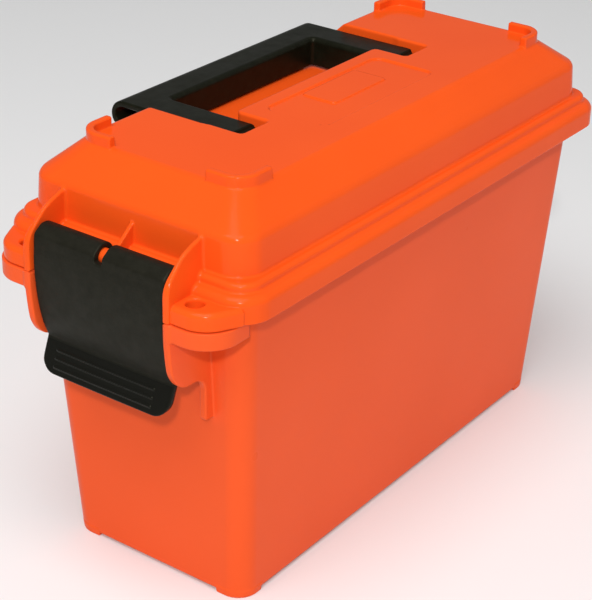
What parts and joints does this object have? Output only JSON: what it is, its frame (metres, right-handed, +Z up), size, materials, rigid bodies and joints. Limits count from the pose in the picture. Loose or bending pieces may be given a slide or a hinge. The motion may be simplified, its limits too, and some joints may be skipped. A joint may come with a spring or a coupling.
{
  "type": "hinged carrying case",
  "caption": "Hard plastic ammo-can style box: drafted tub, domed lid on a rear hinge, snap latch between padlock ears, and a folding U handle sunk into the lid",
  "frame": {"origin": "centre of the whole object's bounding box, on the surface that the feet stand on", "axes": "+Z up, +Y towards the rear hinge and along the length, -Y towards the latch, +X to the right seen from the latch"},
  "size_m": [0.12, 0.288, 0.179],
  "materials": {
    "tub_plastic": "satin moulded orange",
    "lid_plastic": "satin moulded orange",
    "seal_rubber": "matte",
    "pin_steel": "drawn wire",
    "latch_plastic": "fine moulded grain",
    "handle_plastic": "semi-gloss black"
  },
  "bodies": {
    "base": {"tub": "tub_plastic", "hinge_pin": "pin_steel"},
    "cover": {"lid": "lid_plastic", "seal": "seal_rubber"},
    "latch_body": {"latch": "latch_plastic"},
    "handle_body": {"handle": "handle_plastic"}
  },
  "joints": [
    {"name": "lid_hinge", "type": "hinge", "parent": "base", "child": "cover", "pos_m": [0, 0.138, 0.1346], "axis": [-1, 0, 0], "range_deg": [0, 110]},
    {"name": "latch_pivot", "type": "hinge", "parent": "cover", "child": "latch_body", "pos_m": [0, -0.136, 0.1478], "axis": [-1, 0, 0], "range_deg": [0, 120]},
    {"name": "handle_pivot", "type": "hinge", "parent": "cover", "child": "handle_body", "pos_m": [-0.00485, 0, 0.16595], "axis": [0, 1, 0], "range_deg": [0, 90]}
  ]
}
